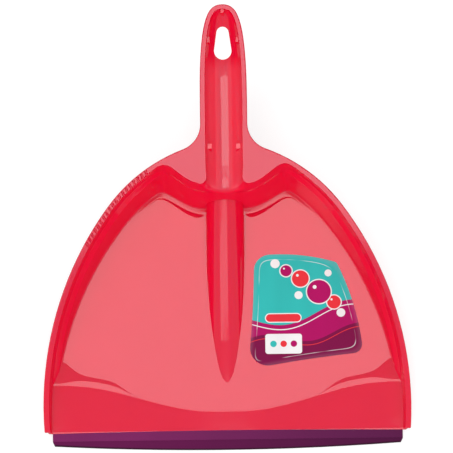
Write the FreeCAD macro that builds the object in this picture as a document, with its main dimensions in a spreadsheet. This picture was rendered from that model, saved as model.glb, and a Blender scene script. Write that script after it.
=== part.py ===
"""Dust pan with a channel handle, a soft lip and a sticker, as a parametric FreeCAD document.

The pan is drawn lying on its rim plane: X runs across the pan, Y from the mouth to the end of
the handle, and Z up out of the rim, with Z = 0 on top of the flange. Every finished piece is then
leaned back by one shared placement, so that the lip and the heel of the floor stand on Z = 0.
"""
import FreeCAD, Part
import math
import os
from FreeCAD import Placement, Rotation, Vector

doc = FreeCAD.newDocument("dust_pan")

# ---------------------------------------------------------------------------------------------
# Driving sizes, in millimetres and degrees
# ---------------------------------------------------------------------------------------------
SIZES = [
    ("pan_width", 270.0, "width over the flange at its widest"),
    ("widest_at", 16.8, "distance of the widest place from the front edge"),
    ("side_radius", 247.6, "plan radius of the flange along the sides"),
    ("shoulder_radius", 121.9, "plan radius of the flange round the shoulders"),
    ("side_turn", 36.7, "angle through which the side radius runs"),
    ("neck_radius", 19.8, "plan radius between shoulder and handle"),
    ("handle_width", 34.64, "width of the handle over its flange"),
    ("neck_length", 20.1, "length of the handle's straight sides"),
    ("grip_length", 67.4, "length of the tapered and rounded end of the handle"),
    ("wall", 2.2, "wall thickness of the moulding"),
    ("flange_width", 4.0, "width of the flange along the walls"),
    ("handle_flange", 3.2, "width of the flange along the handle"),
    ("rim_lean", 13.0, "angle between rim plane and floor"),
    ("mouth_depth", 5.7, "depth of the floor below the rim at the front edge"),
    ("upper_draft", 12.3, "draft of the upper side walls"),
    ("lower_draft", 15.4, "draft of the lower side walls"),
    ("back_draft", 25.4, "draft of the back wall"),
    ("ledge_depth", 11.0, "depth of the step in the side walls"),
    ("ledge_drop", 3.5, "height of the sloping step in the side walls"),
    ("ledge_width", 3.6, "width of the sloping step in the side walls"),
    ("peak_inset", 20.45, "how far the peaks of the back wall stand in from its shoulders"),
    ("peak_rise", 13.55, "how far the peaks of the back wall stand behind its shoulders"),
    ("back_bend", 50.0, "angle at which the shoulder gives way to the wave of the back"),
    ("bay_depth", 16.0, "how far the middle of the back wall stands in front of its peaks"),
    ("ramp_drop", 1.4, "height of the front edge below the floor"),
    ("ramp_middle", 13.6, "length of the front ramp in the middle"),
    ("ramp_side", 34.2, "length of the front ramp at the sides"),
    ("crest_rise", 0.9, "height of the crest of the ramp over the floor beside its middle"),
    ("crest_top", 4.5, "width of the crest of the ramp"),
    ("crest_back", 3.3, "length of the slope behind the crest of the ramp"),
    ("crest_from", 66.0, "distance from the middle at which the crest starts to rise"),
    ("corner_rise", 1.0, "how much higher the crest gets in the corners of the mouth"),
    ("corner_back", 11.0, "how much longer the slope behind it gets in the corners"),
    ("corner_from", 98.0, "distance from the middle at which the corners start"),
    ("crease_gap", 4.5, "distance of the creases in the floor from the foot of the back wall"),
    ("crease_width", 3.2, "width of a crease at its widest"),
    ("crease_from", 15.0, "distance of the creases' inner ends from the middle"),
    ("crease_to", 58.0, "distance of the creases' outer ends from the middle"),
    ("foot_round", 1.2, "inside radius between walls and floor"),
    ("rim_round", 0.8, "radius along the edges of the flange"),
    ("strip_round", 2.5, "radius at the front corners of the flange"),
    ("channel_radius", 13.8, "inside radius of the handle channel"),
    ("channel_neck_radius", 12.3, "inside radius of the channel where it enters the pan"),
    ("ridge_radius", 14.05, "outside radius of the ridge on the floor"),
    ("ridge_lean", 4.8, "angle of the ridge to the rim plane"),
    ("nose_lean", 6.5, "angle of the ridge's nose to the rim plane"),
    ("ridge_bend_at", 64.0, "distance from the front edge at which the ridge bends to its nose"),
    ("ridge_root_at", 137.0, "distance from the front edge at which the ridge axis meets the floor"),
    ("hole_radius", 6.4, "radius of the wide end of the hanging hole"),
    ("hole_tip_radius", 4.5, "radius of the narrow end of the hanging hole"),
    ("hole_from_end", 34.0, "distance of the wide end's centre from the end of the handle"),
    ("hole_pitch", 13.2, "distance between the two centres of the hanging hole"),
    ("channel_mouth_round", 4.5, "radius where the channel opens into the back wall"),
    ("lug_length", 3.7, "length of the top of the lugs in the channel"),
    ("lug_lead", 4.5, "length of the lugs' slope towards the mouth, down to the channel's bottom"),
    ("near_lugs", 12.6, "distance of the pair of lugs at the neck behind the peaks"),
    ("near_lug_depth", 6.8, "depth of the lugs at the neck below the rim"),
    ("near_lug_width", 3.0, "how far the lugs at the neck stand out of the channel's wall"),
    ("far_lugs", 26.0, "distance of the pair of lugs at the hole from the end of the handle"),
    ("far_lug_depth", 4.0, "depth of the lugs at the hole below the rim"),
    ("far_lug_width", 1.8, "how far the lugs at the hole stand out of the channel's wall"),
    ("comb_count", 19, "number of grooves in the comb"),
    ("comb_from", -30.8, "first groove, along the rim from where its two radii meet"),
    ("comb_pitch", 3.86, "distance between grooves along the flange"),
    ("comb_radius", 1.0, "radius of a comb groove"),
    ("comb_slant", 20.0, "slant of the grooves to the square across the flange"),
    ("tongue_length", 5.0, "length of the tongue that the lip grips"),
    ("tongue_thickness", 1.2, "thickness of the tongue"),
    ("lip_length", 257.0, "length of the lip across the mouth"),
    ("lip_skin", 0.9, "thickness of the lip over and under the tongue"),
    ("band_width", 7.0, "width of the grip band of the lip"),
    ("blade_reach", 14.2, "distance of the blade's edge from the front edge in the middle"),
    ("blade_bow", 4.1, "how far the blade's edge falls back at its ends"),
    ("blade_thickness", 1.1, "thickness of the blade at its edge"),
    ("blade_step", 0.3, "step down from the grip band to the blade"),
    ("lip_end", 2.0, "lip material past each end of the tongue"),
    ("lip_taper", 1.5, "how far the lip's ends draw in towards the blade's edge"),
    ("seat_bow", 1.3, "how far the back of the lip bows forward at its ends"),
    ("label_thickness", 0.2, "thickness of the sticker"),
]
sheet = doc.addObject("Spreadsheet::Sheet", "sizes")
for row, (alias, value, meaning) in enumerate(SIZES, start=1):
    sheet.set(f"A{row}", meaning)
    sheet.set(f"B{row}", str(value))
    sheet.setAlias(f"B{row}", alias)
doc.recompute()


def size(alias):
    """One value from the sheet."""
    return float(sheet.get(alias))


def turned(centre, radius, angle):
    """The point at that radius and angle (radians, from +X) about a centre in the rim plane."""
    return Vector(centre.x + radius * math.cos(angle), centre.y + radius * math.sin(angle), 0)


def mirrored(point):
    return Vector(-point.x, point.y, point.z)


def hidden_shape(name, shape):
    """A document object that holds a shape made with Part's own functions."""
    feature = doc.addObject("Part::Feature", name)
    feature.Shape = shape
    return feature


def lofted(name, outlines, ruled):
    """A solid through closed outlines, in straight steps or smoothly."""
    sections = []
    for number, outline_at in enumerate(outlines):
        sections.append(hidden_shape(f"{name}_{number}", outline_at))
    loft = doc.addObject("Part::Loft", name)
    loft.Sections = sections
    loft.Solid = True
    loft.Ruled = ruled
    return loft


# ---------------------------------------------------------------------------------------------
# Plan of the pan: two arcs a side, tangent to each other, and a neck fillet to the handle
# ---------------------------------------------------------------------------------------------
wall = size("wall")
flange_width = size("flange_width")
side_radius = size("side_radius")
shoulder_radius = size("shoulder_radius")
side_turn = math.radians(size("side_turn"))
handle_half = size("handle_width") / 2
neck_radius = size("neck_radius")

side_centre = Vector(size("pan_width") / 2 - side_radius, size("widest_at"), 0)
shoulder_centre = turned(side_centre, side_radius - shoulder_radius, side_turn)
neck_centre = Vector(handle_half + neck_radius, 0, 0)
neck_centre.y = shoulder_centre.y + math.sqrt(
    (shoulder_radius + neck_radius) ** 2 - (neck_centre.x - shoulder_centre.x) ** 2
)
neck_angle = math.atan2(neck_centre.y - shoulder_centre.y, neck_centre.x - shoulder_centre.x)
strip_end = -1.6  # the flange strips end this far past the front edge
clear_front = -40.0  # the walls and the ramp are drawn this far past the front edge
far_front = -80.0  # trimming shapes run past those


def side_point_at(radius, along):
    """Where the side arc of that radius crosses the line at that distance from the front."""
    rise = along - side_centre.y
    return Vector(side_centre.x + math.sqrt(radius**2 - rise**2), along, 0)


# Control polygon of the handle's rounded end: shares of its half-width and of its length
GRIP_POLES = [(1.0, 0.0), (1.0, 0.30), (0.915, 0.60), (0.773, 0.833), (0.453, 1.0), (0.0, 1.0)]
grip_start = neck_centre.y + size("neck_length")
grip_end = grip_start + size("grip_length")


def grip_curve(half_width, end):
    """Half of the rounded end of the handle, from its full width to its tip."""
    length = end - grip_start
    poles = [Vector(half_width * w, grip_start + length * s, 0) for w, s in GRIP_POLES]
    curve = Part.BSplineCurve()
    curve.buildFromPoles(poles, False, 3)
    return curve.toShape()


def mirrored_edge(edge):
    return edge.mirror(Vector(0, 0, 0), Vector(1, 0, 0))


def arc(centre, radius, start, end):
    """An arc in the rim plane through the points at those two angles."""
    middle = turned(centre, radius, (start + end) / 2)
    return Part.Arc(turned(centre, radius, start), middle, turned(centre, radius, end)).toShape()


def side_start_angle(radius, along):
    return math.asin((along - side_centre.y) / radius)


def silhouette():
    """The outline of the whole pan and handle, over the flange."""
    start = side_start_angle(side_radius, strip_end)
    half = [
        arc(side_centre, side_radius, start, side_turn),
        arc(shoulder_centre, shoulder_radius, side_turn, neck_angle),
        arc(neck_centre, neck_radius, neck_angle + math.pi, math.pi),
        Part.makeLine(
            Vector(handle_half, neck_centre.y, 0), Vector(handle_half, grip_start, 0)
        ),
        grip_curve(handle_half, grip_end),
    ]
    corner = side_point_at(side_radius, strip_end)
    front = Part.makeLine(mirrored(corner), corner)
    edges = [front] + half + [mirrored_edge(edge) for edge in half]
    return Part.Wire(Part.__sortEdges__(edges))


outline = hidden_shape("silhouette", Part.Face(silhouette()))
flange_plate = doc.addObject("Part::Extrusion", "flange_plate")
flange_plate.Base = outline
flange_plate.DirMode = "Custom"
flange_plate.Dir = Vector(0, 0, -1)
flange_plate.Solid = True
flange_plate.setExpression("LengthFwd", "sizes.wall")

# ---------------------------------------------------------------------------------------------
# Walls: outlines of the pan at four depths, lofted into the space that holds the dust
# ---------------------------------------------------------------------------------------------
bay_depth = size("bay_depth")
shoulder_end = math.radians(size("back_bend"))
rim_shoulder = turned(shoulder_centre, shoulder_radius - flange_width, shoulder_end)
peak = rim_shoulder + Vector(-size("peak_inset"), size("peak_rise"), 0)
bay_follow = 0.86  # the middle of the back wall leans this share of what its peaks lean
leave_share = 0.53  # how far the wave keeps the shoulder's direction, of the way to its peak
# Control polygon of the wave: shares of the peak's distance from the middle, and of the way
# from the middle of the bay out to the peak
PEAK_POLE = (1.02, 1.21)
FLANK_POLE = (0.75, 0.5)
BAY_POLE = (0.46, 0.0)


def back_wave(side_inset, back_inset):
    """The back wall's line: two peaks and a shallow bay between them, where the handle comes in."""
    join = turned(shoulder_centre, shoulder_radius - flange_width - side_inset, shoulder_end)
    top = Vector(peak.x, peak.y - back_inset, 0)
    low = peak.y - bay_depth - bay_follow * back_inset
    leaving = Vector(-math.sin(shoulder_end), math.cos(shoulder_end), 0)
    half = [join, join + leaving * (leave_share * join.distanceToPoint(top))]
    for across, rise in [PEAK_POLE, FLANK_POLE, BAY_POLE]:
        half.append(Vector(peak.x * across, low + (top.y - low) * rise, 0))
    poles = half + [Vector(0, low, 0)] + [mirrored(point) for point in reversed(half)]
    wave = Part.BSplineCurve()
    wave.buildFromPoles(poles, False, 3)
    return wave.toShape()


def wall_outline(side_inset, back_inset, depth):
    """The closed outline of the walls at a depth below the rim: arcs about the flange's centres
    along the sides and round the shoulders, and the wave of the back."""
    long_radius = side_radius - flange_width - side_inset
    round_radius = shoulder_radius - flange_width - side_inset
    start = side_start_angle(long_radius, clear_front)
    side = arc(side_centre, long_radius, start, side_turn)
    shoulder = arc(shoulder_centre, round_radius, side_turn, shoulder_end)
    corner = turned(side_centre, long_radius, start)
    edges = [
        Part.makeLine(mirrored(corner), corner),
        side,
        shoulder,
        back_wave(side_inset, back_inset),
        mirrored_edge(shoulder),
        mirrored_edge(side),
    ]
    wire = Part.Wire(Part.__sortEdges__(edges))
    wire.translate(Vector(0, 0, -depth))
    return wire


def run_of(depth, draft):
    """How far a wall with that draft comes in over that depth."""
    return depth * math.tan(math.radians(size(draft)))


lowest_depth = 60.0  # below the deepest place of the floor
ledge_depth = size("ledge_depth")
ledge_foot = ledge_depth + size("ledge_drop")
upper_run = run_of(ledge_depth, "upper_draft")
ledge_run = upper_run + size("ledge_width")
lower_run = ledge_run + run_of(lowest_depth - ledge_foot, "lower_draft")
WALL_LEVELS = [
    (0.0, 0.0),
    (ledge_depth, upper_run),
    (ledge_foot, ledge_run),
    (lowest_depth, lower_run),
]
back_growth = 1.25  # the leaning back wall is thicker in plan than it is square to its face


def wall_loft(name, growth):
    """The solid inside the walls' inner face, or inside the outer face when grown by the wall."""
    outlines = []
    for depth, inset in WALL_LEVELS:
        back_inset = run_of(depth, "back_draft") - growth * back_growth
        outlines.append(wall_outline(inset - growth, back_inset, depth))
    return lofted(name, outlines, True)


inner_form = wall_loft("inner_form", 0.0)
outer_form = wall_loft("outer_form", wall)

# ---------------------------------------------------------------------------------------------
# Floor: a plane that leans back from the rim, with a ramp and a low crest along the mouth
# ---------------------------------------------------------------------------------------------
rim_lean = size("rim_lean")
floor_lean = Placement(
    Vector(0, 0, -size("mouth_depth")), Rotation(Vector(1, 0, 0), -rim_lean)
)
half_width = size("pan_width") / 2
ramp_middle = size("ramp_middle")
ramp_side = size("ramp_side")
ramp_drop = size("ramp_drop")
crest_top = size("crest_top")
crest_from = size("crest_from")
crest_ease = 22.0  # length across the mouth over which the crest rises
least_crest = 0.03  # share of its rise that the crest keeps in the middle
corner_from = size("corner_from")
corner_ease = 20.0  # length across the mouth over which a corner grows to its full size
corner_power = 2.2  # how late in that length a corner grows
most_corner = 1.3  # share of its full size that a corner reaches beyond that length
tail_drop = 0.8  # the slope behind the crest runs on to this depth below the floor
tongue_thickness = size("tongue_thickness")
lip_skin = size("lip_skin")
far_back = 240.0  # beyond the back wall
well_above = 90.0  # above the rim everywhere
ramp_below = 12.0  # below the ramp everywhere
ramp_stations = 41


def on_floor(across, profile):
    """A closed outline square to the mouth, from distances along the floor and heights over it."""
    points = [Vector(across, along, up) for along, up in profile]
    wire = Part.makePolygon(points + points[:1])
    wire.Placement = floor_lean
    return wire


def ramp_share(across):
    """0 in the middle of the mouth, 1 at its sides, with a soft wave between."""
    flat, reach = 0.06, 0.88
    share = min(max((abs(across) / half_width - flat) / (reach - flat), 0), 1)
    return (1 - math.cos(math.pi * share)) / 2


def crest_share(across):
    """How much of its rise the crest has: it eases in away from the middle."""
    share = min(max((abs(across) - crest_from) / crest_ease, 0), 1)
    return max(share**2 * (3 - 2 * share), least_crest)


def corner_share(across):
    """How far the crest has grown into a corner of the mouth."""
    grown = max((abs(across) - corner_from) / corner_ease, 0) ** corner_power
    return min(grown, most_corner)


def ramp_profile(across, sink, front_sink):
    """The solid under the ramp and its crest at one place across the mouth.

    sink lowers the ramp and front_sink the tongue, for the underside of the moulding."""
    share, corner = crest_share(across), corner_share(across)
    ramp = ramp_middle + (ramp_side - ramp_middle) * ramp_share(across)
    crest = size("crest_rise") * share + size("corner_rise") * corner
    slope_length = size("crest_back") * share + size("corner_back") * corner
    slope_start = ramp + crest_top * (1 - corner / 2) * math.sqrt(share)
    tail_end = slope_start + slope_length * (1 + tail_drop / crest)
    return [
        (clear_front, -ramp_drop - front_sink),
        (0.0, -ramp_drop - front_sink),
        (ramp, crest - sink),
        (slope_start, crest - sink),
        (tail_end, -tail_drop - sink),
        (tail_end, -ramp_below),
        (clear_front, -ramp_below),
    ]


def dip_profile(across, sink):
    """The space under the floor's own plane into which the ramp dips, at one place across."""
    ramp = ramp_middle + (ramp_side - ramp_middle) * ramp_share(across)
    back = ramp + crest_top * math.sqrt(least_crest) / 2
    bottom = -sink - ramp_below / 2
    return [(clear_front, bottom), (clear_front, -sink), (back, -sink), (back, bottom)]


def across_mouth(name, profile_at, *sinks):
    """A loft of profiles, in the floor's own frame, from side to side of the mouth."""
    outlines = []
    reach = half_width * 1.1
    for station in range(ramp_stations):
        across = reach * (2 * station / (ramp_stations - 1) - 1)
        outlines.append(on_floor(across, profile_at(across, *sinks)))
    return lofted(name, outlines, False)


def floor_box(name, front, back, bottom, top):
    """A box in the floor's own frame, wider than the pan."""
    box = doc.addObject("Part::Box", name)
    box.Length = half_width * 4
    box.Width = back - front
    box.Height = top - bottom
    corner = Placement(Vector(-half_width * 2, front, bottom), Rotation())
    box.Placement = floor_lean.multiply(corner)
    return box


def joined(kind, name, shapes):
    feature = doc.addObject(kind, name)
    feature.Shapes = shapes
    return feature


def fuse(name, shapes):
    return joined("Part::MultiFuse", name, shapes)


def common(name, shapes):
    return joined("Part::MultiCommon", name, shapes)


def cut(name, base, tool):
    feature = doc.addObject("Part::Cut", name)
    feature.Base = base
    feature.Tool = tool
    return feature


def rounded(name, base, radius, chosen):
    """A fillet on the edges of base that the test picks."""
    doc.recompute()
    edges = base.Shape.Edges
    picked = [number for number, edge in enumerate(edges, start=1) if chosen(edge)]
    fillet = doc.addObject("Part::Fillet", name)
    fillet.Base = base
    fillet.Edges = [(number, radius, radius) for number in picked]
    return fillet


same = 0.01  # heights closer than this count as the same


def samples(edge):
    """Five points spread along an edge."""
    first, last = edge.FirstParameter, edge.LastParameter
    return [edge.valueAt(first + (last - first) * step / 4) for step in range(5)]


def on_floor_plane(edge, sink):
    """True for an edge that runs along the walls' foot on the floor, behind the ramp."""
    points = [floor_lean.inverse().multVec(point) for point in samples(edge)]
    level = all(abs(point.z + sink) < same for point in points)
    behind_ramp = sum(point.y for point in points) / 5 > ramp_side + crest_top
    return level and behind_ramp


# ---------------------------------------------------------------------------------------------
# Ridge: a half-round rib on the floor, open underneath, that runs out towards the mouth
# ---------------------------------------------------------------------------------------------
bend_at = size("ridge_bend_at")
ridge_from = 10.0  # in front of the ridge's tip
ridge_run = 260.0  # to behind the back wall


def floor_height(along):
    """Height of the floor in the rim frame at a distance from the front edge."""
    return -size("mouth_depth") - along * math.tan(math.radians(rim_lean))


def ridge_bar(name, radius, lean, axis_height):
    """A bar with a half-round top and straight sides, whose axis is that high at the bend."""
    start_height = axis_height + (bend_at - ridge_from) * math.tan(math.radians(lean))
    left = Vector(-radius, 0, 0)
    right = Vector(radius, 0, 0)
    down = Vector(0, 0, -well_above)
    profile = Part.Wire(
        [
            Part.Arc(left, Vector(0, 0, radius), right).toShape(),
            Part.makeLine(right, right + down),
            Part.makeLine(right + down, left + down),
            Part.makeLine(left + down, left),
        ]
    )
    section = hidden_shape(f"{name}_section", Part.Face(profile))
    section.Placement = Placement(
        Vector(0, ridge_from, start_height), Rotation(Vector(1, 0, 0), -lean)
    )
    bar = doc.addObject("Part::Extrusion", name)
    bar.Base = section
    bar.DirMode = "Custom"
    bar.Dir = section.Placement.Rotation.multVec(Vector(0, 1, 0))
    bar.LengthFwd = ridge_run
    bar.Solid = True
    return bar


def ridge_form(name, radius):
    """The ridge and its nose, which lies flatter on the floor."""
    root = size("ridge_root_at")
    lean = size("ridge_lean")
    axis_height = floor_height(root) + (root - bend_at) * math.tan(math.radians(lean))
    bars = [
        ridge_bar(f"{name}_back", radius, lean, axis_height),
        ridge_bar(f"{name}_nose", radius, size("nose_lean"), axis_height),
    ]
    return fuse(name, bars)


ridge_radius = size("ridge_radius")
ridge_margin = 1.0  # edges nearer than this to the ridge's side belong to the ridge
ridge = ridge_form("ridge", ridge_radius)
ridge_hollow = ridge_form("ridge_hollow", ridge_radius - wall)

# ---------------------------------------------------------------------------------------------
# Creases: a shallow wedge sunk into the floor on each side, along the foot of the back wall
# ---------------------------------------------------------------------------------------------
doc.recompute()
floor_normal = floor_lean.Rotation.multVec(Vector(0, 0, 1))
floor_offset = floor_normal.dot(floor_lean.Base)
floor_edge = Part.Compound(inner_form.Shape.slice(floor_normal, floor_offset))
crease_stations = 9
crease_slope = 0.25  # depth for each millimetre of width
crease_over = 0.3  # the wedge is drawn on up to this height above the floor
least_crease = 0.03  # share of the width that the wedge keeps at its ends
crease_bulge = 0.4  # below 1, the widest place lies nearer the inner end
foot_search = 80.0  # well in front of the back wall's foot


def foot_at(across):
    """Distance of the back wall's foot along the floor's plane, at a distance from the middle."""
    line = Part.makeLine(Vector(across, foot_search, 0), Vector(across, far_back, 0))
    line.Placement = floor_lean
    crossing = floor_edge.distToShape(line)[1][0][0]
    return floor_lean.inverse().multVec(crossing).y


def crease(name, side):
    outlines = []
    for station in range(crease_stations):
        share = station / (crease_stations - 1)
        across = side * (size("crease_from") * (1 - share) + size("crease_to") * share)
        width = size("crease_width") * max(math.sin(math.pi * share**crease_bulge), least_crease)
        rear = foot_at(across) - size("crease_gap")
        front = rear - width - crease_over / crease_slope
        wedge = [(rear, crease_over), (rear, -width * crease_slope), (front, crease_over)]
        outlines.append(on_floor(across, wedge))
    return lofted(name, outlines, False)


creases = [crease("left_crease", -1), crease("right_crease", 1)]

# ---------------------------------------------------------------------------------------------
# Shell: the space for the dust inside, the outer skin outside, each with its ramp
# ---------------------------------------------------------------------------------------------
foot_round = size("foot_round")


def ramp_space(name, form, sink):
    """The part of a form that dips below the floor's plane in front of the crest."""
    return common(name, [form, across_mouth(f"{name}_dip", dip_profile, sink)])


def inner_foot(edge):
    """True for the edges where the walls, but not the ridge, meet the floor."""
    beside_ridge = abs(samples(edge)[2].x) > ridge_radius + ridge_margin
    return beside_ridge and on_floor_plane(edge, 0.0)


def outer_foot(edge):
    return on_floor_plane(edge, wall)


well_box = floor_box("well_box", clear_front, far_back, 0.0, well_above)
well = cut("well", common("open_well", [inner_form, well_box]), ridge)
well_rounded = rounded("well_rounded", well, foot_round, inner_foot)
dust_space = cut(
    "dust_space",
    fuse("well_and_ramp", [well_rounded, ramp_space("inner_ramp_space", inner_form, 0.0)]),
    across_mouth("ramp_top", ramp_profile, 0.0, 0.0),
)
skin_box = floor_box("skin_box", clear_front, far_back, -wall, well_above)
skin = common("skin", [outer_form, skin_box])
skin_rounded = rounded("skin_rounded", skin, foot_round, outer_foot)
outer_shell = cut(
    "outer_shell",
    fuse("skin_and_ramp", [skin_rounded, ramp_space("outer_ramp_space", outer_form, wall)]),
    across_mouth("ramp_under", ramp_profile, wall, tongue_thickness + 2 * lip_skin),
)

# ---------------------------------------------------------------------------------------------
# Handle: a half-round channel with a flange, turned about the handle's own line
# ---------------------------------------------------------------------------------------------
channel_radius = size("channel_radius")
channel_neck = size("channel_neck_radius")
channel_end = grip_end - size("handle_flange")
channel_from = peak.y - bay_depth - 16.0  # in the open space in front of the back wall
skin_from = channel_from + 12.0  # the channel's skin starts inside the back wall
neck_flare = 30.0  # length over which the channel widens out of the pan


def channel_form(name, growth, start, neck_radius_at, end):
    """The channel, or its outer skin when grown by the wall, as a turned solid."""
    radius = channel_radius + growth
    flare_end = start + neck_flare
    lengthwise = [
        Part.makeLine(Vector(0, start, 0), Vector(neck_radius_at + growth, start, 0)),
        Part.makeLine(Vector(neck_radius_at + growth, start, 0), Vector(radius, flare_end, 0)),
        Part.makeLine(Vector(radius, flare_end, 0), Vector(radius, grip_start, 0)),
        grip_curve(radius, end + growth),
        Part.makeLine(Vector(0, end + growth, 0), Vector(0, start, 0)),
    ]
    profile = hidden_shape(f"{name}_profile", Part.Face(Part.Wire(lengthwise)))
    turned_form = doc.addObject("Part::Revolution", name)
    turned_form.Source = profile
    turned_form.Axis = Vector(0, 1, 0)
    turned_form.Base = Vector(0, 0, 0)
    turned_form.Angle = 360
    turned_form.Solid = True
    return turned_form


channel = channel_form("channel", 0.0, channel_from, channel_neck, channel_end)
channel_skin = channel_form("channel_skin", wall, skin_from, channel_neck, channel_end)
under_rim = doc.addObject("Part::Box", "under_rim")
under_rim.Length = half_width * 2
under_rim.Width = grip_end
under_rim.Height = lowest_depth
under_rim.Placement.Base = Vector(-half_width, 0, -lowest_depth)
handle_shell = common("handle_shell", [channel_skin, under_rim])


def neck_outline(depth):
    """The back wall's line at that depth, closed in front of it."""
    wave = back_wave(0.0, run_of(depth, "back_draft") + neck_skim)
    ends = [wave.valueAt(wave.FirstParameter), wave.valueAt(wave.LastParameter)]
    front = [Vector(end.x, channel_from, 0) for end in ends]
    rest = Part.makePolygon([ends[0]] + front + [ends[1]])
    wire = Part.Wire(Part.__sortEdges__([wave] + rest.Edges))
    wire.translate(Vector(0, 0, -depth))
    return wire


def at_channel_mouth(edge):
    """True for the edges along which the channel opens through the back wall."""
    points = samples(edge)
    from_axis = [math.hypot(point.x, point.z) for point in points]
    on_channel = all(channel_neck - same < far < channel_radius + same for far in from_axis)
    slanting = max(abs(points[0].y - point.y) for point in points) > same
    turning = max(abs(points[0].z - point.z) for point in points) > same
    return on_channel and slanting and turning and points[2].y < peak.y


neck_skim = 0.01  # the neck's wall stands this far in front of the pan's own back wall
neck_high = 20.0  # the neck is drawn on above the rim, past the channel
neck_deep = 19.0  # down to above the ridge
neck_half = 25.0  # half its width, past the rounding
neck_form = lofted("neck_form", [neck_outline(-neck_high), neck_outline(neck_deep)], True)
neck_box = doc.addObject("Part::Box", "neck_box")
neck_box.Length = neck_half * 2
neck_box.Width = peak.y
neck_box.Height = neck_high + neck_deep
neck_box.Placement.Base = Vector(-neck_half, channel_from - neck_skim, -neck_deep)
neck = common("neck", [neck_form, neck_box])
neck_and_channel = fuse("neck_and_channel", [neck, channel])
mouth_round = size("channel_mouth_round")
mouth_rounded = rounded("mouth_rounded", neck_and_channel, mouth_round, at_channel_mouth)

# ---------------------------------------------------------------------------------------------
# Details of the moulding: hanging hole, lugs in the channel, comb grooves, tongue for the lip
# ---------------------------------------------------------------------------------------------


def hanging_hole():
    """The pear-shaped outline of the hole: two circles and the lines that touch both."""
    wide, narrow = size("hole_radius"), size("hole_tip_radius")
    pitch = size("hole_pitch")
    wide_centre = Vector(0, grip_end - size("hole_from_end"), 0)
    narrow_centre = wide_centre + Vector(0, pitch, 0)
    touch = math.asin((wide - narrow) / pitch)
    wide_side = turned(wide_centre, wide, touch)
    narrow_side = turned(narrow_centre, narrow, touch)
    top = turned(narrow_centre, narrow, math.pi / 2)
    bottom = turned(wide_centre, wide, -math.pi / 2)
    edges = [
        Part.makeLine(wide_side, narrow_side),
        Part.Arc(narrow_side, top, mirrored(narrow_side)).toShape(),
        Part.makeLine(mirrored(narrow_side), mirrored(wide_side)),
        Part.Arc(mirrored(wide_side), bottom, wide_side).toShape(),
    ]
    return Part.Face(Part.Wire(edges))


hole = doc.addObject("Part::Extrusion", "hole")
hole.Base = hidden_shape("hole_outline", hanging_hole())
hole.DirMode = "Custom"
hole.Dir = Vector(0, 0, -1)
hole.Solid = True
hole.setExpression("LengthFwd", "sizes.channel_radius * 2")


def channel_half_width(along):
    """Half the width of the channel at the rim, at a distance from the front edge."""
    if along < grip_start:
        return channel_radius
    reach = Part.makeLine(Vector(0, along, 0), Vector(channel_radius * 2, along, 0))
    return grip_curve(channel_radius, channel_end).distToShape(reach)[1][0][0].x


def lug(name, left, front, width, depth):
    """A block with a flat top at that depth below the rim, sloping down towards the mouth."""
    back = front + size("lug_length")
    foot = front - size("lug_lead")
    side = [(back, -depth), (front, -depth), (foot, -channel_radius), (back, -channel_radius)]
    points = [Vector(left, along, up) for along, up in side]
    block = doc.addObject("Part::Extrusion", name)
    block.Base = hidden_shape(f"{name}_side", Part.Face(Part.makePolygon(points + points[:1])))
    block.DirMode = "Custom"
    block.Dir = Vector(1, 0, 0)
    block.Solid = True
    block.LengthFwd = width
    return block


def wall_lugs(name, along, depth, width):
    """A lug on each side of the channel, rooted in its wall."""
    front = along - size("lug_length") / 2
    edge = math.sqrt(channel_half_width(along) ** 2 - depth**2)
    return [
        lug(f"{name}_left", -edge - wall, front, width + wall, depth),
        lug(f"{name}_right", edge - width, front, width + wall, depth),
    ]


near_lugs_at = peak.y + size("near_lugs")
far_lugs_at = grip_end - size("far_lugs")
blocks = wall_lugs("near_lug", near_lugs_at, size("near_lug_depth"), size("near_lug_width"))
blocks += wall_lugs("far_lug", far_lugs_at, size("far_lug_depth"), size("far_lug_width"))
end_lug_reach = 3.0  # how far the lug at the handle's end stands into the channel
end_lug_width = 2.4
end_lug_depth = 2.4
blocks.append(
    lug("end_lug", -end_lug_width / 2, channel_end - end_lug_reach, end_lug_width, end_lug_depth)
)
lugs = common("lugs", [fuse("lug_blocks", blocks), channel_skin])


def rim_place(distance):
    """Centre and angle of the rim arc at a distance along it from where its two radii meet."""
    if distance > 0:
        return shoulder_centre, shoulder_radius, side_turn + distance / shoulder_radius
    return side_centre, side_radius, side_turn + distance / side_radius


def comb_groove(distance):
    """A round-bottomed groove across the flange, a little slanted, closed at the outer edge."""
    centre, radius, angle = rim_place(distance)
    outer_end = turned(centre, radius - comb_margin, angle)
    inward = outer_end - centre
    inward = inward.normalize() * -1
    inward = Rotation(Vector(0, 0, 1), size("comb_slant")).multVec(inward)
    groove = Part.makeCylinder(size("comb_radius"), comb_run, outer_end, inward)
    mirror_plane = Vector(1, 0, 0)
    return groove.mirror(Vector(0, 0, 0), mirror_plane)


comb_margin = 0.7  # left standing along the outer edge of the flange
comb_run = flange_width * 1.5  # past the flange's inner edge, into the open pan
grooves = [
    comb_groove(size("comb_from") + size("comb_pitch") * number)
    for number in range(int(size("comb_count")))
]
comb = hidden_shape("comb", Part.makeCompound(grooves))


def floor_prism(name, face, bottom, top):
    """A plan outline, drawn on the floor plane, made solid between two heights above it."""
    base = hidden_shape(f"{name}_outline", face)
    prism = doc.addObject("Part::Extrusion", name)
    prism.Base = base
    prism.DirMode = "Custom"
    prism.Dir = Vector(0, 0, 1)
    prism.Solid = True
    prism.LengthFwd = top
    prism.LengthRev = -bottom
    prism.Placement = floor_lean
    return prism


tongue_top = -ramp_drop - lip_skin
tongue_bottom = tongue_top - tongue_thickness
lip_bottom = tongue_bottom - lip_skin
tongue_length = size("tongue_length")
lip_half = size("lip_length") / 2
tongue_half = lip_half - size("lip_end")
seat_bow = size("seat_bow")


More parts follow.
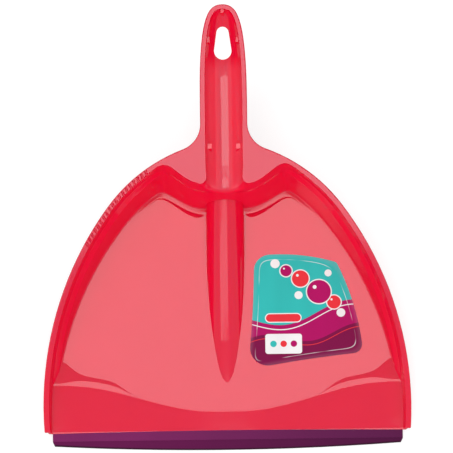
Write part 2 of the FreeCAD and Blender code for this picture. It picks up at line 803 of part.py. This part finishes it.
def mouth_line(half, bow, middle):
    """A shallow arc across the mouth, on the floor plane."""
    return Part.Arc(
        Vector(-half, middle + bow, 0), Vector(0, middle, 0), Vector(half, middle + bow, 0)
    ).toShape()


def seat_outline():
    """Everything in front of the line where the lip meets the pan."""
    line = mouth_line(half_width, -seat_bow, 0)
    ends = [line.valueAt(line.LastParameter), line.valueAt(line.FirstParameter)]
    front = [Vector(end.x, far_front, 0) for end in ends]
    rest = Part.makePolygon([ends[0]] + front + [ends[1]])
    return Part.Face(Part.Wire(Part.__sortEdges__([line] + rest.Edges)))


seat_above = floor_prism("seat_above", seat_outline(), tongue_top, well_above)
seat_below = floor_prism("seat_below", seat_outline(), -well_above, tongue_bottom)
front_trim = floor_box("front_trim", far_front, -tongue_length, -well_above, well_above)


def corner_trim(name, start):
    """Clears the space in front of one side wall, where the lip's end comes."""
    box = doc.addObject("Part::Box", name)
    box.Length = half_width
    box.Width = strip_end - far_front
    box.Height = well_above
    box.Placement.Base = Vector(start, far_front, -well_above - wall)
    return box


trims = [
    seat_above,
    seat_below,
    front_trim,
    corner_trim("left_trim", -tongue_half - half_width),
    corner_trim("right_trim", tongue_half),
]


def at_corner_of_strip(edge):
    """True for the two upright edges at the front corners of the flange."""
    points = samples(edge)
    upright = abs(points[0].z - points[4].z) > wall / 2
    return upright and abs(points[2].y - strip_end) < same


def on_outline(edge):
    points = samples(edge)
    return all(abs(point.z - points[0].z) < same for point in points)


flange_cornered = rounded(
    "flange_cornered", flange_plate, size("strip_round"), at_corner_of_strip
)
flange_rounded = rounded("flange_rounded", flange_cornered, size("rim_round"), on_outline)

body = fuse("body", [flange_rounded, outer_shell, handle_shell])
hollows = fuse("hollows", [dust_space, mouth_rounded, ridge_hollow] + creases)
hollowed = cut("hollowed", body, hollows)
lugged = fuse("lugged", [hollowed, lugs])
trimmed = cut("trimmed", lugged, fuse("trims", trims + [hole]))
pan = cut("pan", trimmed, comb)

# ---------------------------------------------------------------------------------------------
# Lip: a soft strip gripped over the tongue, with a thinner blade that meets the ground
# ---------------------------------------------------------------------------------------------
blade_reach = size("blade_reach")
blade_bow = size("blade_bow")
band_width = size("band_width")


def lip_outline():
    back = mouth_line(lip_half, -seat_bow, 0)
    front = mouth_line(lip_half - size("lip_taper"), blade_bow, -blade_reach)
    edges = [back, front]
    for back_end, front_end in [
        (back.valueAt(back.FirstParameter), front.valueAt(front.FirstParameter)),
        (back.valueAt(back.LastParameter), front.valueAt(front.LastParameter)),
    ]:
        shoulder = Vector(back_end.x, -band_width, 0)
        edges.append(Part.makeLine(back_end, shoulder))
        edges.append(Part.makeLine(shoulder, front_end))
    return Part.Face(Part.Wire(Part.__sortEdges__(edges)))


behind_seat = 1.0  # the lip's section runs on behind its seat, and the plan trims it


def lip_section():
    """The lip cut square to its length: flat below, grip band and sloping blade above."""
    blade_top = -ramp_drop - size("blade_step")
    edge_top = lip_bottom + size("blade_thickness")
    profile = [
        (clear_front, edge_top),
        (-blade_reach, edge_top),
        (-band_width, blade_top),
        (-band_width, -ramp_drop),
        (behind_seat, -ramp_drop),
        (behind_seat, lip_bottom),
        (clear_front, lip_bottom),
    ]
    points = [Vector(-half_width, along, up) for along, up in profile]
    return Part.Face(Part.makePolygon(points + points[:1]))


lip_plan = floor_prism("lip_plan", lip_outline(), -ramp_below, ramp_below)
lip_bar = doc.addObject("Part::Extrusion", "lip_bar")
lip_bar.Base = hidden_shape("lip_section", lip_section())
lip_bar.DirMode = "Custom"
lip_bar.Dir = Vector(1, 0, 0)
lip_bar.Solid = True
lip_bar.setExpression("LengthFwd", "sizes.pan_width")
lip_bar.Placement = floor_lean
tongue_slot = doc.addObject("Part::Box", "tongue_slot")
tongue_slot.Length = tongue_half * 2
tongue_slot.Width = tongue_length * 2
tongue_slot.Height = tongue_thickness
slot_corner = Placement(Vector(-tongue_half, -tongue_length, tongue_bottom), Rotation())
tongue_slot.Placement = floor_lean.multiply(slot_corner)
lip = cut("lip", common("lip_body", [lip_plan, lip_bar]), tongue_slot)

# ---------------------------------------------------------------------------------------------
# Label: a thin sticker on the floor, beside the ridge
# ---------------------------------------------------------------------------------------------


# Corners on the floor's plane with their radii, and how far the side after each bows outwards
LABEL_CORNERS = [
    (15.5, 45.0, 13.0, -1.0),
    (100.3, 57.0, 7.0, 3.3),
    (81.8, 125.0, 4.0, 3.4),
    (21.0, 130.3, 12.0, -1.2),
]


def label_outline():
    edges = []
    for number, (across, along, _, bow) in enumerate(LABEL_CORNERS):
        start = Vector(across, along, 0)
        end = Vector(*LABEL_CORNERS[(number + 1) % len(LABEL_CORNERS)][:2], 0)
        outward = Rotation(Vector(0, 0, 1), -90).multVec(end - start).normalize()
        middle = (start + end) / 2 + outward * bow
        edges.append(Part.Arc(start, middle, end).toShape())
    return Part.Face(Part.Wire(edges))


label_sheet = doc.addObject("Part::Extrusion", "label_sheet")
label_sheet.Base = hidden_shape("label_outline", label_outline())
label_sheet.DirMode = "Custom"
label_sheet.Dir = Vector(0, 0, 1)
label_sheet.Solid = True
label_sheet.setExpression("LengthFwd", "sizes.label_thickness")
doc.recompute()


label = doc.addObject("Part::Fillet", "label")
label.Base = label_sheet
label_fillets = []
for number, edge in enumerate(label_sheet.Shape.Edges, start=1):
    points = samples(edge)
    if abs(points[0].z - points[4].z) > same:
        for across, along, radius, _ in LABEL_CORNERS:
            if points[0].distanceToPoint(Vector(across, along, points[0].z)) < same:
                label_fillets.append((number, radius, radius))
label.Edges = label_fillets
label.Placement = floor_lean

# ---------------------------------------------------------------------------------------------
# Stand: the blade and the heel of the floor touch the ground; origin under the middle
# ---------------------------------------------------------------------------------------------
doc.recompute()


def heel_distance():
    """How far back the flat underside of the floor reaches, on the floor plane."""
    reach = 0.0
    for face in pan.Shape.Faces:
        flat = face.copy()
        flat.transformShape(floor_lean.inverse().toMatrix())
        box = flat.BoundBox
        if abs(box.ZMin + wall) < same and abs(box.ZMax + wall) < same:
            reach = max(reach, box.YMax)
    return reach


heel = heel_distance()
ground_angle = rim_lean - math.degrees(math.atan2(-lip_bottom - wall, blade_reach + heel))
upright_turn = Placement(Vector(), Rotation(Vector(1, 0, 0), ground_angle))
whole = Part.makeCompound([pan.Shape, lip.Shape, label.Shape])
whole.Placement = upright_turn
bounds = whole.optimalBoundingBox(False)
to_origin = Vector(0, -(bounds.YMin + bounds.YMax) / 2, -bounds.ZMin)
stand = Placement(to_origin, upright_turn.Rotation)
for node, part in [("pan", pan), ("lip", lip), ("label", label)]:
    part.Placement = stand.multiply(part.Placement)
    part.Label = node
doc.recompute()

for thing in doc.Objects:
    if "Invalid" in thing.State or "Error" in thing.State:
        raise RuntimeError(f"{thing.Name} did not build: {thing.State}")
os.makedirs("parts", exist_ok=True)
for part in [pan, lip, label]:
    if part.Shape.isNull() or not part.Shape.isValid():
        raise RuntimeError(f"{part.Label} is not a valid shape")
    part.Shape.exportStep(f"parts/{part.Label}.step")
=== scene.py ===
"""A hand dust pan of glossy coral plastic with a plum soft lip and a printed sticker."""

import math

import bmesh
import bpy
from mathutils import Matrix, Vector


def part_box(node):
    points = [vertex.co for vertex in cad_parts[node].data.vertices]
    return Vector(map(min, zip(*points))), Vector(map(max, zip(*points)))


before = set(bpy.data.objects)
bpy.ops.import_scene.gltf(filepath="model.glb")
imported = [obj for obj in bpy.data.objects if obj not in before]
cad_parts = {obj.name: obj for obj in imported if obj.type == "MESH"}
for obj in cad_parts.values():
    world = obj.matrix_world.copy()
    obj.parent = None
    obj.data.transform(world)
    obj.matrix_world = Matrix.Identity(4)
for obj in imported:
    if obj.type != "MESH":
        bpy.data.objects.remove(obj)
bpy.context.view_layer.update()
scene = bpy.context.scene
scene.view_settings.view_transform = "Standard"

# ---- Camera ---------------------------------------------------------------------------------
# The pan stands on its heel and lip, so its rim leans back from the mouth. The camera looks
# square onto the rim from far away, with a long lens, and is rolled by under a degree.
rim_lean = math.radians(12.354)
across = Vector((1, 0, 0))
along_rim = Vector((0, math.cos(rim_lean), math.sin(rim_lean)))
out_of_rim = across.cross(along_rim)
mouth_point = Vector((0, -0.14623, 0.00997))  # the middle of the rim plane's front edge
aim_across = 0.00106  # from the mouth point to where the camera looks
aim_along = 0.14927
view_point = mouth_point + across * aim_across + along_rim * aim_along
view_distance = 6.0
view_width = 0.3323
view_limit = 50
sensor_width = 36
roll = math.radians(0.76)

camera_data = bpy.data.cameras.new("camera")
camera_data.sensor_width = sensor_width
camera_data.lens = sensor_width * view_distance / view_width
camera_data.clip_end = view_limit
camera = bpy.data.objects.new("camera", camera_data)
scene.collection.objects.link(camera)
picture_right = across * math.cos(roll) - along_rim * math.sin(roll)
picture_up = across * math.sin(roll) + along_rim * math.cos(roll)
turn = Matrix((picture_right, picture_up, out_of_rim)).transposed().to_4x4()
camera.matrix_world = Matrix.Translation(view_point + out_of_rim * view_distance) @ turn
scene.camera = camera

# ---- Pan ------------------------------------------------------------------------------------
# One thin injection moulding in glossy coral plastic: floor, stepped walls, flange, ridge and
# channel handle. Its surface has the mould's faint waviness, cloudy pigment and fine scuffs
# that run the way the dirt is swept.


class Tree:
    """A node tree whose nodes are made, set and linked in one call each."""

    def __init__(self, node_tree):
        self.node_tree = node_tree

    def add(self, kind, inputs, **settings):
        """A node; its inputs are given by name or number, as values or as other outputs."""
        node = self.node_tree.nodes.new("ShaderNode" + kind)
        for setting, value in settings.items():
            setattr(node, setting, value)
        for socket, value in inputs.items():
            if isinstance(value, bpy.types.NodeSocket):
                self.node_tree.links.new(value, node.inputs[socket])
            else:
                node.inputs[socket].default_value = value
        return node

    def math(self, operation, first, second=0.0, third=0.0):
        """One sum on numbers."""
        node = self.add("Math", {0: first, 1: second, 2: third}, operation=operation)
        return node.outputs[0]

    def vector_math(self, operation, first, second=(0, 0, 0)):
        """One sum on vectors, which gives a vector or, for some sums, a number."""
        node = self.add("VectorMath", {0: first, 1: second}, operation=operation)
        gives_number = operation in ("DOT_PRODUCT", "DISTANCE", "LENGTH")
        return node.outputs["Value" if gives_number else "Vector"]

    def product(self, first, *others):
        """Masks or numbers multiplied together."""
        for other in others:
            first = self.math("MULTIPLY", first, other)
        return first

    def smooth_step(self, value, low, high):
        """0 on the low side and 1 on the high side, with a soft change between."""
        inputs = {"Value": value, "From Min": low, "From Max": high}
        return self.add("MapRange", inputs, interpolation_type="SMOOTHSTEP").outputs[0]

    def noise(self, position, scale, detail=2.0, roughness=0.5):
        """A cloudy pattern around 0.5, with about that many clouds to a unit of length."""
        inputs = {"Vector": position, "Scale": scale, "Detail": detail, "Roughness": roughness}
        return self.add("TexNoise", inputs).outputs[0]

    def blend(self, share, first, second):
        """A colour that goes from the first to the second as the share goes from 0 to 1."""
        inputs = {0: share, 6: first, 7: second}  # 6 and 7 are the mix's colour sockets
        return self.add("Mix", inputs, data_type="RGBA").outputs[2]

    def dress(self, shader, colour, roughness, height, bump_depth):
        """Give the shader its colour, its roughness and a bump of that depth in metres."""
        bump = {"Strength": 1.0, "Distance": bump_depth, "Height": height}
        normal = self.add("Bump", bump).outputs[0]
        links = {"Base Color": colour, "Roughness": roughness, "Normal": normal}
        for socket, value in links.items():
            self.node_tree.links.new(value, shader.inputs[socket])


def new_group(name, sockets_in, sockets_out):
    """An empty node group with those sockets; each is a name and Float, Vector or Color."""
    group = bpy.data.node_groups.new(name, "ShaderNodeTree")
    for in_out, sockets in [("INPUT", sockets_in), ("OUTPUT", sockets_out)]:
        for socket, kind in sockets:
            group.interface.new_socket(socket, in_out=in_out, socket_type="NodeSocket" + kind)
    return group, group.nodes.new("NodeGroupInput").outputs, group.nodes.new("NodeGroupOutput")


def new_material(name):
    """A material, its node tree to build in, and its Principled shader."""
    material = bpy.data.materials.new(name)
    material.use_nodes = True
    tree = Tree(material.node_tree)
    return material, tree, material.node_tree.nodes["Principled BSDF"]


def set_inputs(shader, **values):
    """Set the shader's own sockets; a name's underscores stand for spaces."""
    for name, value in values.items():
        shader.inputs[name.replace("_", " ")].default_value = value


# Moulded surface: cloudy pigment, waviness and scuffs, shared by the hard and the soft plastic
wave_scale = 55.0
grain_scale = 2600.0
patch_scale = 24.0
streak_scale = (1400.0, 70.0, 1400.0)  # drawn out the way the dirt is swept
grain_height = 0.02  # heights are counted in waves
scuff_height = -0.06
moulded, taken, given = new_group(
    "moulded_surface",
    [("Cloud size", "Float"), ("Scuffs", "Float")],
    [("Cloud", "Float"), ("Gloss loss", "Float"), ("Height", "Float")],
)
tree = Tree(moulded)
place = tree.add("TexCoord", {}).outputs["Object"]
cloud = tree.noise(place, taken["Cloud size"], detail=3.0)
waves = tree.noise(place, wave_scale, detail=1.0)
grain = tree.noise(place, grain_scale)
streaked = tree.add("Mapping", {"Vector": place, "Scale": streak_scale}).outputs[0]
streaks = tree.noise(streaked, 1.0, detail=3.0, roughness=0.7)
streaks = tree.smooth_step(streaks, low=0.56, high=0.78)
patches = tree.smooth_step(tree.noise(place, patch_scale), low=0.42, high=0.66)
scuffs = tree.product(streaks, patches, taken["Scuffs"])
height = tree.math("MULTIPLY_ADD", grain, grain_height, waves)
height = tree.math("MULTIPLY_ADD", scuffs, scuff_height, height)
moulded.links.new(cloud, given.inputs["Cloud"])
moulded.links.new(scuffs, given.inputs["Gloss loss"])
moulded.links.new(height, given.inputs["Height"])

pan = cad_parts["pan"]
pan.data.materials.clear()
coral, tree, shader = new_material("coral_plastic")
set_inputs(shader, IOR=1.5, Subsurface_Weight=0.4, Subsurface_Scale=0.004)
set_inputs(shader, Subsurface_Radius=(1.0, 0.12, 0.15))
surface = tree.add("Group", {"Cloud size": 30.0, "Scuffs": 1.0}, node_tree=moulded).outputs
deep_coral = (0.655, 0.003, 0.034, 1)
light_coral = (0.695, 0.005, 0.040, 1)
pigment = tree.blend(surface["Cloud"], deep_coral, light_coral)

# Where a point lies from the middle of the mouth, and how much the surface there faces out of
# the rim or back towards the handle, from -1 to 1
coordinates = tree.add("TexCoord", {}).outputs
from_mouth = tree.vector_math("SUBTRACT", coordinates["Object"], mouth_point)
above_rim = tree.vector_math("DOT_PRODUCT", from_mouth, out_of_rim)
parts = tree.add("SeparateXYZ", {"Vector": from_mouth}).outputs
from_middle = tree.math("ABSOLUTE", parts["X"])
facing_out = tree.vector_math("DOT_PRODUCT", coordinates["Normal"], out_of_rim)
facing_back = tree.vector_math("DOT_PRODUCT", coordinates["Normal"], along_rim)

# Painted light: steep walls are painted a brighter, more vivid coral than the flat floor, for
# the light that would come through their thin walls and fall on them
wall_painted_light_coral = (0.79, 0.003, 0.036, 1)
flat_wall = 0.97
steep_wall = 0.60
painted_wall_light = tree.smooth_step(facing_out, flat_wall, steep_wall)
pigment = tree.blend(painted_wall_light, pigment, wall_painted_light_coral)

# Painted light: the handle's channel, from the back wall to the hanging hole, is painted a paler
# coral for the light its thin walls would let through and the soft light on its sides, with less
# red along the bottom where the highlight falls; the slopes that face the mouth and the
# underside keep the plain coral
channel_bottom_painted_light = (0.66, 0.040, 0.076, 1)
channel_side_painted_light = (0.79, 0.040, 0.076, 1)
channel_half = 0.0140
channel_start = 0.170
channel_stop = 0.258
side_fade = 0.001
start_fade = 0.008
stop_fade = 0.014
brim_height = -0.0005
wall_height = -0.0040
bottom_half = 0.002
side_start = 0.006
mouth_slope = -0.45
level_slope = -0.20
underside = -0.12
upper_side = -0.02
in_width = tree.smooth_step(from_middle, channel_half, channel_half - side_fade)
in_front = tree.smooth_step(parts["Y"], channel_start, channel_start + start_fade)
in_back = tree.smooth_step(parts["Y"], channel_stop + stop_fade, channel_stop)
in_depth = tree.smooth_step(above_rim, brim_height, wall_height)
off_slopes = tree.smooth_step(facing_back, mouth_slope, level_slope)
off_underside = tree.smooth_step(facing_out, underside, upper_side)
painted_channel_light = tree.product(in_width, in_front, in_back, in_depth, off_slopes, off_underside)
off_bottom = tree.smooth_step(from_middle, bottom_half, side_start)
painted_channel_light_coral = tree.blend(off_bottom, channel_bottom_painted_light, channel_side_painted_light)
pigment = tree.blend(painted_channel_light, pigment, painted_channel_light_coral)

# Painted shade: the rim behind the mouth is painted a little darker and duller, to hold back
# the extra light that its open top catches
rim_painted_shade_coral = (0.61, 0.006, 0.042, 1)
rim_foot = -0.0016
rim_top = -0.0004
rim_shade_start = 0.03
rim_shade_full = 0.10
on_rim = tree.smooth_step(above_rim, rim_foot, rim_top)
behind_mouth = tree.smooth_step(parts["Y"], rim_shade_start, rim_shade_full)
pigment = tree.blend(tree.product(on_rim, behind_mouth), pigment, rim_painted_shade_coral)

# The step of the side walls runs on round the back as a faint line
back_start = 0.120
back_fade = 0.01
step_foot = -0.0150
step_top = -0.0110
step_height = 18.0  # in waves
back_half = 0.055
side_wall = 0.080
on_back = tree.smooth_step(parts["Y"], back_start, back_start + back_fade)
off_sides = tree.smooth_step(from_middle, side_wall, back_half)
above_step = tree.smooth_step(above_rim, step_foot, step_top)
step = tree.product(above_step, on_back, off_sides)
height = tree.math("MULTIPLY_ADD", step, step_height, surface["Height"])

coral_roughness = 0.055
coral_scuffing = 0.10  # what a full scuff adds to the roughness
roughness = tree.math("MULTIPLY_ADD", surface["Gloss loss"], coral_scuffing, coral_roughness)
tree.dress(shader, pigment, roughness, height, bump_depth=0.00002)
pan.data.materials.append(coral)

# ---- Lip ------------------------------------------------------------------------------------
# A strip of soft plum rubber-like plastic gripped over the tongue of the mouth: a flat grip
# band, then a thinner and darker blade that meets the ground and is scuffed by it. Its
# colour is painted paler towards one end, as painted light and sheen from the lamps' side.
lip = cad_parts["lip"]
lip.data.materials.clear()
lip_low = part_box("lip")[0]
plum, tree, shader = new_material("plum_rubber")
set_inputs(shader, Specular_IOR_Level=0.1)
surface = tree.add("Group", {"Cloud size": 45.0, "Scuffs": 1.0}, node_tree=moulded).outputs
place = tree.add("TexCoord", {}).outputs["Object"]
parts = tree.add("SeparateXYZ", {"Vector": place}).outputs

# The grip band gives way to the blade along a straight edge, and the blade's tip is bowed
blade_width = 0.0072
edge_soft = 0.0003
tip_bow = 0.25  # times the square of the distance from the middle
tip_start = 0.0016
tip_full = 0.0004
band_edge = lip_low.y + blade_width
on_blade = tree.smooth_step(parts["Y"], band_edge + edge_soft, band_edge - edge_soft)
bow = tree.product(parts["X"], parts["X"], tip_bow)
from_tip = tree.math("SUBTRACT", tree.math("SUBTRACT", parts["Y"], bow), lip_low.y)
at_tip = tree.smooth_step(from_tip, tip_start, tip_full)

band_plum = (0.090, 0.004, 0.056, 1)
band_plum_painted_light = (0.192, 0.012, 0.106, 1)
blade_plum = (0.066, 0.001, 0.038, 1)
blade_plum_painted_light = (0.116, 0.003, 0.062, 1)
tip_plum = (0.030, 0.001, 0.016, 1)
cloud_plum = (0.045, 0.002, 0.027, 1)
cloud_strength = 0.25
# Painted light: the band and the blade are painted paler towards the end the lamps lean to
plain_end_x = 0.15
lit_end_x = -0.12
painted_end_light = tree.smooth_step(parts["X"], plain_end_x, lit_end_x)
band_colour = tree.blend(painted_end_light, band_plum, band_plum_painted_light)
blade_colour = tree.blend(painted_end_light, blade_plum, blade_plum_painted_light)
blade_colour = tree.blend(at_tip, blade_colour, tip_plum)
colour = tree.blend(on_blade, band_colour, blade_colour)
clouded = tree.math("MULTIPLY", surface["Cloud"], cloud_strength)
colour = tree.blend(clouded, colour, cloud_plum)

plum_roughness = 0.42
plum_scuffing = 0.15
roughness = tree.math("MULTIPLY_ADD", surface["Gloss loss"], plum_scuffing, plum_roughness)
tree.dress(shader, colour, roughness, surface["Height"], bump_depth=0.00008)
lip.data.materials.append(plum)

# ---- Label ----------------------------------------------------------------------------------
# A sticker of thin, rippled film on the floor of the pan, printed in teal above two magenta
# waves, with a drift of soap bubbles, a blank coral bar and a white panel with three spots,
# all inside a thin pale line.
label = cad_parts["label"]
label.data.materials.clear()
film, tree, shader = new_material("label_film")
set_inputs(shader, IOR=1.45, Specular_IOR_Level=0.14)

# Corners of the sticker, counted round from the one nearest the mouth and the ridge
near_left = Vector((0.0155, -0.1000, 0))
near_right = Vector((0.1003, -0.0880, 0))
far_right = Vector((0.0818, -0.0200, 0))
far_left = Vector((0.0210, -0.0147, 0))
sides = [  # each with how far its middle bows outwards
    (near_left, near_right, -0.0010),
    (near_right, far_right, 0.0033),
    (far_right, far_left, 0.0034),
    (far_left, near_left, -0.0012),
]
corner_round = 0.012
place = tree.add("TexCoord", {}).outputs["Object"]
place = tree.vector_math("MULTIPLY", place, (1, 1, 0))  # the print is laid out from above


def share_along(start, direction, length):
    """0 at the start and 1 at that length along the direction."""
    offset = tree.vector_math("SUBTRACT", place, start)
    return tree.vector_math("DOT_PRODUCT", offset, direction / length)


def inside_of(start, end, bow):
    """Distance in from a bowed side of the sticker, in metres."""
    run = end - start
    along = share_along(start, run.normalized(), run.length)
    inwards = share_along(start, Vector((-run.y, run.x, 0)).normalized(), 1.0)
    crown = tree.math("MULTIPLY", along, tree.math("SUBTRACT", 1.0, along))  # 1/4 at most
    return tree.math("MULTIPLY_ADD", crown, 4 * bow, inwards)


inset = None
for start, end, bow in sides:
    distance = inside_of(start, end, bow)
    inset = distance if inset is None else tree.math("SMOOTH_MIN", inset, distance, corner_round)

label_up = Vector((-0.12, 1, 0)).normalized()
label_right = Vector((1, 0.1, 0)).normalized()
label_height = 0.09
label_width = 0.085
height_on_label = share_along(near_left, label_up, label_height)
width_on_label = share_along(near_left, label_right, label_width)

teal = (0.030, 0.49, 0.46, 1)
magenta = (0.42, 0.0, 0.115, 1)
dark_magenta = (0.20, 0.0, 0.058, 1)
coral_ink = (0.79, 0.032, 0.045, 1)
white_ink = (0.85, 0.85, 0.85, 1)
print_soft = 0.00015  # half the width of a printed shape's soft edge


def below_wave(level, swing, turns, shift):
    """How far below a wavy line across the sticker, as a share of its height."""
    phase = tree.math("MULTIPLY_ADD", width_on_label, math.tau * turns, shift)
    line = tree.math("MULTIPLY_ADD", tree.math("SINE", phase), swing, level)
    return tree.math("SUBTRACT", line, height_on_label)


def stripe(depth, start, width):
    """1 between two depths below a wavy line, 0 elsewhere."""
    soft = 0.002
    past = tree.smooth_step(depth, start - soft, start + soft)
    before = tree.smooth_step(depth, start + width + soft, start + width - soft)
    return tree.math("MULTIPLY", past, before)


def disc(x, y, radius):
    """1 inside a round spot at that place, in metres from the sticker's near left corner."""
    centre = near_left + Vector((x, y, 0))
    distance = tree.vector_math("DISTANCE", place, centre)
    return tree.smooth_step(distance, radius + print_soft, radius - print_soft)


def rounded_bar(x, y, half_width, half_height, radius):
    """1 inside a bar with rounded corners; its place is counted as a spot's is."""
    centre = near_left + Vector((x, y, 0))
    offset = tree.vector_math("SUBTRACT", place, centre)
    folded = tree.vector_math("ABSOLUTE", offset)
    corner = Vector((half_width - radius, half_height - radius, 0))
    beyond = tree.vector_math("SUBTRACT", folded, corner)
    kept = tree.vector_math("MAXIMUM", beyond, (0, 0, 0))
    distance = tree.vector_math("LENGTH", kept)
    return tree.smooth_step(distance, radius + print_soft, radius - print_soft)


# Each wave reaches down to the sticker's edge, and a thin line runs along just below its top
to_the_edge = 2.0
first_wave = below_wave(level=0.40, swing=0.07, turns=0.9, shift=2.6)
second_wave = below_wave(level=0.22, swing=0.05, turns=1.2, shift=0.4)
waves = [  # with the wave's ink, and the start, width and ink of its line
    (first_wave, magenta, 0.035, 0.008, white_ink),
    (second_wave, dark_magenta, 0.030, 0.006, coral_ink),
]
art = teal
for depth, wave_ink, start, width, line_ink in waves:
    art = tree.blend(stripe(depth, 0.0, to_the_edge), art, wave_ink)
    art = tree.blend(stripe(depth, start, width), art, line_ink)

bubbles = [  # place, radius and ink of each bubble
    (0.0640, 0.0500, 0.0050, coral_ink),
    (0.0530, 0.0580, 0.0088, magenta),
    (0.0395, 0.0680, 0.0062, coral_ink),
    (0.0290, 0.0740, 0.0042, magenta),
    (0.0210, 0.0795, 0.0026, white_ink),
    (0.0690, 0.0420, 0.0024, white_ink),
    (0.0380, 0.0555, 0.0022, white_ink),
    (0.0600, 0.0720, 0.0018, white_ink),
]
bubble_rim = 0.0008
glint_left = 0.35  # the glint's place and size are shares of its bubble's radius
glint_up = 0.4
glint_size = 0.16
for x, y, radius, ink in bubbles:
    art = tree.blend(disc(x, y, radius + bubble_rim), art, white_ink)
    art = tree.blend(disc(x, y, radius), art, ink)
    glint = disc(x - radius * glint_left, y + radius * glint_up, radius * glint_size)
    art = tree.blend(glint, art, white_ink)

# The coral bar has a white rim, and the panel below it has three spots in a row
bar_x = 0.0265
bar_y = 0.0385
bar_half_width = 0.0135
bar_half_height = 0.0036
bar_rim = 0.0007
panel_y = 0.0190
panel_half_height = 0.0075
panel_corner = 0.0020
spot_pitch = 0.0075
spot_radius = 0.0024
bar = rounded_bar(bar_x, bar_y, bar_half_width, bar_half_height, bar_half_height)
inner_half_width = bar_half_width - bar_rim
inner_half_height = bar_half_height - bar_rim
inner_bar = rounded_bar(bar_x, bar_y, inner_half_width, inner_half_height, inner_half_height)
panel = rounded_bar(bar_x, panel_y, bar_half_width, panel_half_height, panel_corner)
art = tree.blend(bar, art, white_ink)
art = tree.blend(inner_bar, art, coral_ink)
art = tree.blend(panel, art, white_ink)
for place_in_row, ink in [(-1, teal), (0, coral_ink), (1, magenta)]:
    spot = disc(bar_x + spot_pitch * place_in_row, panel_y, spot_radius)
    art = tree.blend(spot, art, ink)

# A thin pale line runs round inside the edge, worn in places, with a paler margin outside it
line_start = 0.0036
line_stop = line_start + 0.0005
line_soft = 0.0002
line_strength = 0.6
wear_scale = 40.0
margin_pink = (0.6, 0.35, 0.45, 1)
margin_strength = 0.10
past_start = tree.smooth_step(inset, line_start, line_start + line_soft)
before_stop = tree.smooth_step(inset, line_stop + line_soft, line_stop)
unworn = tree.smooth_step(tree.noise(place, wear_scale), low=0.40, high=0.60)
margin = tree.smooth_step(inset, line_start, 0.0)
art = tree.blend(tree.product(margin, margin_strength), art, margin_pink)
art = tree.blend(tree.product(past_start, before_stop, unworn, line_strength), art, white_ink)

# The film has long ripples and a fine grain; the print is painted a little darker along the
# ripples, as painted shade
ripple_scale = (70.0, 12.0, 12.0)
ripple_shade = 0.15
black = (0, 0, 0, 1)
film_grain_scale = 3000.0
film_grain_height = 0.05  # in ripples
film_roughness = 0.46
film_grain_roughness = 0.12
drawn_out = tree.add("Mapping", {"Vector": place, "Scale": ripple_scale}).outputs[0]
ripple = tree.noise(drawn_out, 1.0, detail=1.0)
art = tree.blend(tree.product(ripple, ripple_shade), art, black)
film_grain = tree.noise(place, film_grain_scale)
film_height = tree.math("MULTIPLY_ADD", film_grain, film_grain_height, ripple)
roughness = tree.math("MULTIPLY_ADD", film_grain, film_grain_roughness, film_roughness)
tree.dress(shader, art, roughness, film_height, bump_depth=0.0001)
label.data.materials.append(film)

# ---- Floor ----------------------------------------------------------------------------------
# A plain white surface; seen directly it glows a little, so that it is white between soft
# shadows while the lamps stay at a plain level.
ground_half = 4
ground_glow = 0.69
paper_grey = (0.4, 0.4, 0.4, 1)
ground_mesh = bpy.data.meshes.new("ground")
shape = bmesh.new()
bmesh.ops.create_grid(shape, x_segments=1, y_segments=1, size=ground_half)
shape.to_mesh(ground_mesh)
shape.free()
ground = bpy.data.objects.new("ground", ground_mesh)
scene.collection.objects.link(ground)
paper, tree, shader = new_material("white_paper")
set_inputs(shader, Base_Color=paper_grey, Roughness=1.0, Specular_IOR_Level=0.0)
set_inputs(shader, Emission_Color=(1, 1, 1, 1))
seen = tree.add("LightPath", {}).outputs["Is Camera Ray"]
glow = tree.math("MULTIPLY", seen, ground_glow)
paper.node_tree.links.new(glow, shader.inputs["Emission Strength"])
ground_mesh.materials.append(paper)

# ---- Light ----------------------------------------------------------------------------------
# Three soft boxes over the pan, one behind the other along the handle's direction, with gaps
# between them that the glossy plastic mirrors, a fill from the mouth's side that it doesn't
# mirror, and a pale world.


def soft_box(name, distance, first, last, left, right, radiance):
    """A soft box that faces the view point and covers a range of angles, in degrees.

    Its first and last angles are counted from square onto the rim, towards the handle, and its
    left and right ones from its middle line.
    """
    middle = math.radians((first + last) / 2)
    half = math.radians((last - first) / 2)
    toward = out_of_rim * math.cos(middle) + along_rim * math.sin(middle)
    upward = along_rim * math.cos(middle) - out_of_rim * math.sin(middle)
    left_edge = distance * math.tan(math.radians(left))
    right_edge = distance * math.tan(math.radians(right))
    lamp = bpy.data.lights.new(name, "AREA")
    lamp.shape = "RECTANGLE"
    lamp.size = right_edge - left_edge
    lamp.size_y = 2 * distance * math.tan(half)
    lamp.energy = radiance * math.pi * lamp.size * lamp.size_y
    holder = bpy.data.objects.new(name, lamp)
    scene.collection.objects.link(holder)
    facing = Matrix((across, upward, toward)).transposed().to_4x4()
    place = view_point + toward * distance + across * (left_edge + right_edge) / 2
    holder.matrix_world = Matrix.Translation(place) @ facing
    holder.visible_camera = False
    return holder


near = 2.0
far = 4.0
soft_box("floor_box", near, first=20, last=36, left=-34, right=12, radiance=2.9)
soft_box("ridge_box", far, first=7.9, last=10.3, left=-34, right=12, radiance=1.75)
soft_box("rim_box", far, first=-0.25, last=7.35, left=-34, right=17, radiance=2.75)
fill = soft_box("mouth_fill", near, first=-75, last=-25, left=-40, right=40, radiance=1.2)
fill.visible_glossy = False

# The world lights the pan softly, and is white where the camera sees it
world_light = 0.7
backdrop_light = 1.0
world = bpy.data.worlds.new("studio")
world.use_nodes = True
scene.world = world
sky = world.node_tree.nodes["Background"]
sky.inputs["Color"].default_value = (1, 1, 1, 1)
tree = Tree(world.node_tree)
seen = tree.add("LightPath", {}).outputs["Is Camera Ray"]
levels = {"Value": seen, "To Min": world_light, "To Max": backdrop_light}
level = tree.add("MapRange", levels).outputs[0]
world.node_tree.links.new(level, sky.inputs["Strength"])
